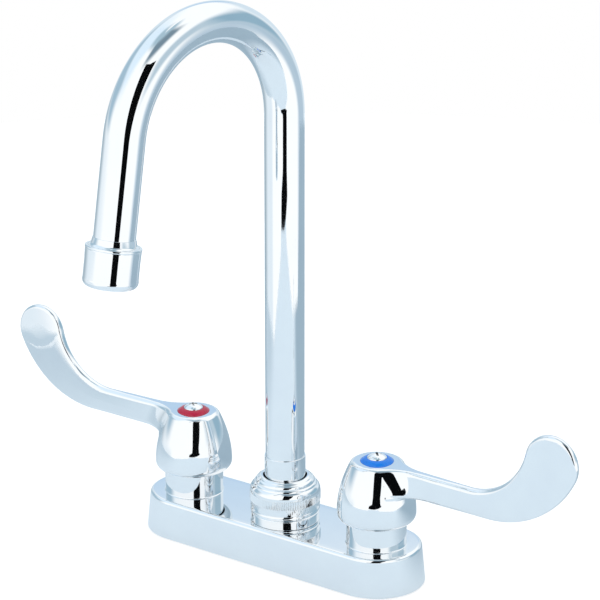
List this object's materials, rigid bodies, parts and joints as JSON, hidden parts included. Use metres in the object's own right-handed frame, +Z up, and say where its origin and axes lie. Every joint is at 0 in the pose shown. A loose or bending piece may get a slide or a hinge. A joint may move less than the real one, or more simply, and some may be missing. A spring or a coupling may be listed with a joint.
{
  "type": "utility sink faucet",
  "caption": "Deck-mounted utility sink faucet with a swinging gooseneck spout, an aerator and hot and cold wing lever handles on an oblong base.",
  "frame": {"origin": "on the sink deck's top face, midway between the two valves, at the underside of the base", "axes": "+Z up out of the deck, +X from the hot valve to the cold valve, -Y towards the user and the sink bowl"},
  "size_m": [0.3048, 0.1349, 0.3085],
  "materials": {
    "chrome": "polished",
    "brass": "turned",
    "black_rubber": "moulded",
    "ceramic": "lapped",
    "white_nylon": "moulded",
    "stainless": "satin",
    "red_ring": "gloss",
    "blue_ring": "gloss"
  },
  "bodies": {
    "base": {"base_body": "chrome", "deck_gasket": "black_rubber", "spout_nut": "chrome", "spout_bearing_washer": "white_nylon", "hot_shank": "brass", "hot_shank_washer": "stainless", "hot_locknut": "brass", "hot_cartridge_body": "brass", "hot_cartridge_o_ring": "black_rubber", "hot_seat_seal": "black_rubber", "hot_fixed_disc": "ceramic", "hot_bonnet_nut": "brass", "cold_shank": "brass", "cold_shank_washer": "stainless", "cold_locknut": "brass", "cold_cartridge_body": "brass", "cold_cartridge_o_ring": "black_rubber", "cold_seat_seal": "black_rubber", "cold_fixed_disc": "ceramic", "cold_bonnet_nut": "brass"},
    "spout": {"spout_tube": "chrome", "spout_tailpiece": "chrome", "tailpiece_o_rings": "black_rubber", "spout_retaining_ring": "white_nylon", "outlet_adapter": "chrome", "aerator_housing": "chrome", "aerator_washer": "black_rubber", "aerator_insert": "white_nylon", "aerator_screen": "stainless"},
    "hot_lever": {"hot_handle": "chrome", "hot_index_ring": "red_ring", "hot_handle_screw": "chrome", "hot_stem": "brass", "hot_moving_disc": "ceramic", "hot_stem_o_ring": "black_rubber", "hot_stem_clip": "stainless"},
    "cold_lever": {"cold_handle": "chrome", "cold_index_ring": "blue_ring", "cold_handle_screw": "chrome", "cold_stem": "brass", "cold_moving_disc": "ceramic", "cold_stem_o_ring": "black_rubber", "cold_stem_clip": "stainless"}
  },
  "joints": [
    {"name": "spout_swivel", "type": "hinge", "parent": "base", "child": "spout", "pos_m": [0, 0.0015, 0.0242], "axis": [0, 0, 1], "continuous": true},
    {"name": "hot_handle_turn", "type": "hinge", "parent": "base", "child": "hot_lever", "pos_m": [-0.0508, 0, 0.037], "axis": [0, 0, 1], "range_deg": [0, 90]},
    {"name": "cold_handle_turn", "type": "hinge", "parent": "base", "child": "cold_lever", "pos_m": [0.0508, 0, 0.037], "axis": [0, 0, 1], "range_deg": [-90, 0]}
  ]
}
